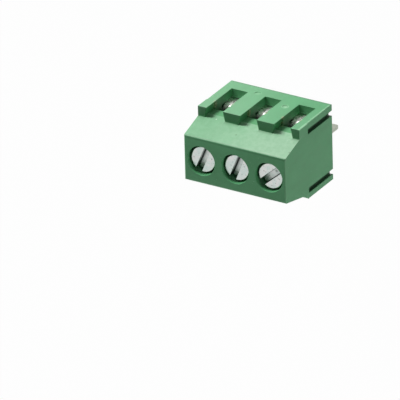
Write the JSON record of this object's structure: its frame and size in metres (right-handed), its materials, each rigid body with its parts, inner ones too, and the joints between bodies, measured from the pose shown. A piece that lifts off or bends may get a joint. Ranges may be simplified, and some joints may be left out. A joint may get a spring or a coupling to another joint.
{
  "type": "pcb screw terminal",
  "caption": "Screw terminal for a printed board, with slotted clamp screws, rising cages, solder pins and side tongues that lock to the next one.",
  "frame": {"origin": "on the board plane, under the axis of the middle screw, in the middle of the row of pins", "axes": "+Z out of the screws, away from the board; X along the row of poles; -Y towards the wire mouths and +Y towards the slotted side"},
  "size_m": [0.0158, 0.0109, 0.0173],
  "materials": {
    "housing": "fine satin moulded polyamide",
    "screw": "zinc plated, bright",
    "cage": "zinc plated strip",
    "contact": "tin plated brass strip"
  },
  "bodies": {
    "housing": {"housing": "housing", "solder_contact_1": "contact", "solder_contact_2": "contact", "solder_contact_3": "contact"},
    "screw_1": {"clamp_screw_1": "screw"},
    "cage_1": {"clamp_cage_1": "cage"},
    "screw_2": {"clamp_screw_2": "screw"},
    "cage_2": {"clamp_cage_2": "cage"},
    "screw_3": {"clamp_screw_3": "screw"},
    "cage_3": {"clamp_cage_3": "cage"}
  },
  "joints": [
    {"name": "screw_turn_1", "type": "hinge", "parent": "housing", "child": "screw_1", "pos_m": [-0.00508, 0, 0.0105], "axis": [0, 0, 1], "range_deg": [-441, 1321]},
    {"name": "cage_slide_1", "type": "slide", "parent": "housing", "child": "cage_1", "axis": [0, 0, 1], "range_m": [-0.00165, 0.00055]},
    {"name": "screw_turn_2", "type": "hinge", "parent": "housing", "child": "screw_2", "pos_m": [0, 0, 0.0105], "axis": [0, 0, 1], "range_deg": [-441, 1321]},
    {"name": "cage_slide_2", "type": "slide", "parent": "housing", "child": "cage_2", "axis": [0, 0, 1], "range_m": [-0.00165, 0.00055]},
    {"name": "screw_turn_3", "type": "hinge", "parent": "housing", "child": "screw_3", "pos_m": [0.00508, 0, 0.0105], "axis": [0, 0, 1], "range_deg": [-441, 1321]},
    {"name": "cage_slide_3", "type": "slide", "parent": "housing", "child": "cage_3", "axis": [0, 0, 1], "range_m": [-0.00165, 0.00055]}
  ],
  "couplings": [
    {"joint": "screw_turn_1", "follows": "cage_slide_1", "rad_per_m": -13963},
    {"joint": "screw_turn_2", "follows": "cage_slide_2", "rad_per_m": -13963},
    {"joint": "screw_turn_3", "follows": "cage_slide_3", "rad_per_m": -13963}
  ]
}
